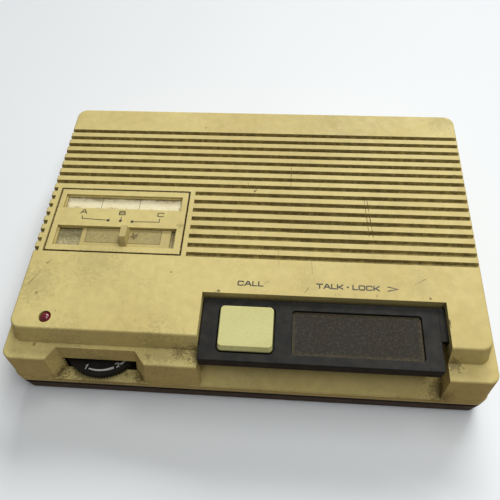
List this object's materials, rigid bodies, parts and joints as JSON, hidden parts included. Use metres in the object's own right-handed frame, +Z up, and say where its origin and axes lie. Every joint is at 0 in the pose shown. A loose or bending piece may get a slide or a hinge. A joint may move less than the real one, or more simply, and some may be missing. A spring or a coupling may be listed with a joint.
{
  "type": "desk intercom",
  "caption": "Vintage beige desk intercom: ribbed top over a loudspeaker, channel slide, sliding talk bar with an ivory call key, thumbwheel volume and red lamp.",
  "frame": {"origin": "on the table, under the middle of the overall box of the case", "axes": "+X to the user's right along the width, +Y away from the user to the back, +Z up through the ribbed top"},
  "size_m": [0.1876, 0.133, 0.039],
  "materials": {
    "casing": "aged khaki-beige moulded styrene, fine satin grain",
    "base": "dark brown moulded styrene",
    "rubber": "black rubber",
    "steel": "zinc-plated steel",
    "clear": "clear polystyrene",
    "card": "cream printed card, yellowed",
    "guide": "grey-brown moulded plastic, dusty",
    "slide": "khaki-beige moulded plastic, dusty and worn",
    "brass": "brass contact spring",
    "tin": "tinned sheet steel",
    "board": "brown phenolic circuit board",
    "lamp": "dark red diffusing lamp, unlit",
    "black": "black moulded plastic",
    "aluminium": "plain turned",
    "resistor": "lacquered carbon-film resistors",
    "sleeve": "blue shrink sleeve",
    "core": "varnished iron laminations",
    "tape": "yellow winding tape",
    "cloth": "dark open-weave dust cloth",
    "felt": "black felt",
    "paper": "dark grey pressed paper",
    "magnet": "ferrite, bare",
    "lead_skin": "dark red wire insulation",
    "bar": "dark grey moulded plastic, matt, scuffed",
    "insert": "brown-black pin-textured panel",
    "key": "ivory moulded plastic, yellowed"
  },
  "bodies": {
    "case": {"upper_casing": "casing", "base_tray": "base", "rubber_feet": "rubber", "case_screws": "steel", "channel_bezel": "casing", "label_window": "clear", "label_card": "card", "slide_guide": "guide", "channel_switch": "tin", "channel_board": "board", "switch_screws": "steel", "led_lens": "lamp", "led_leads": "tin", "volume_pot": "tin", "main_board": "board", "board_screws": "steel", "tuning_cans": "tin", "amplifier_chip": "black", "resistors": "resistor", "capacitors": "sleeve", "transistors": "black", "transformer_core": "core", "transformer_coil": "tape", "transformer_strap": "tin", "transformer_screws": "steel", "speaker_cloth": "cloth", "speaker_gasket": "felt", "speaker_frame": "tin", "speaker_cone": "paper", "speaker_dust_cap": "paper", "speaker_magnet": "magnet", "speaker_clamps": "steel", "speaker_screws": "steel", "speaker_terminal": "board", "speaker_leads": "lead_skin", "inlet_bush": "black", "inlet_nut": "black", "talk_springs": "steel", "talk_switch": "black", "talk_switch_screws": "steel"},
    "carriage": {"talk_carriage": "black", "carriage_clips": "steel"},
    "talk_key": {"talk_bar": "bar", "talk_insert": "insert", "call_board": "board", "call_board_screws": "steel", "call_switch": "black", "call_spring": "steel"},
    "call_key": {"call_button": "key"},
    "wheel": {"volume_wheel": "black", "volume_shaft": "aluminium", "wheel_screw": "steel"},
    "channel_knob": {"channel_slide": "slide", "channel_wiper": "brass"}
  },
  "joints": [
    {"name": "talk_press", "type": "slide", "parent": "case", "child": "carriage", "axis": [0, 0, -1], "range_m": [0, 0.0024], "stiffness_N_per_m": 300, "springref_m": -0.003, "deforming": ["talk_springs"]},
    {"name": "talk_lock", "type": "slide", "parent": "carriage", "child": "talk_key", "axis": [1, 0, 0], "range_m": [0, 0.002]},
    {"name": "call_press", "type": "slide", "parent": "talk_key", "child": "call_key", "axis": [0, 0, -1], "range_m": [0, 0.0016], "stiffness_N_per_m": 250, "springref_m": -0.002, "deforming": ["call_spring"]},
    {"name": "volume_turn", "type": "hinge", "parent": "case", "child": "wheel", "pos_m": [-0.0582, -0.04942, 0.016], "axis": [0, 0, -1], "range_deg": [-45, 225]},
    {"name": "channel_slide_move", "type": "slide", "parent": "case", "child": "channel_knob", "axis": [1, 0, 0], "range_m": [-0.0084, 0.0015]}
  ]
}
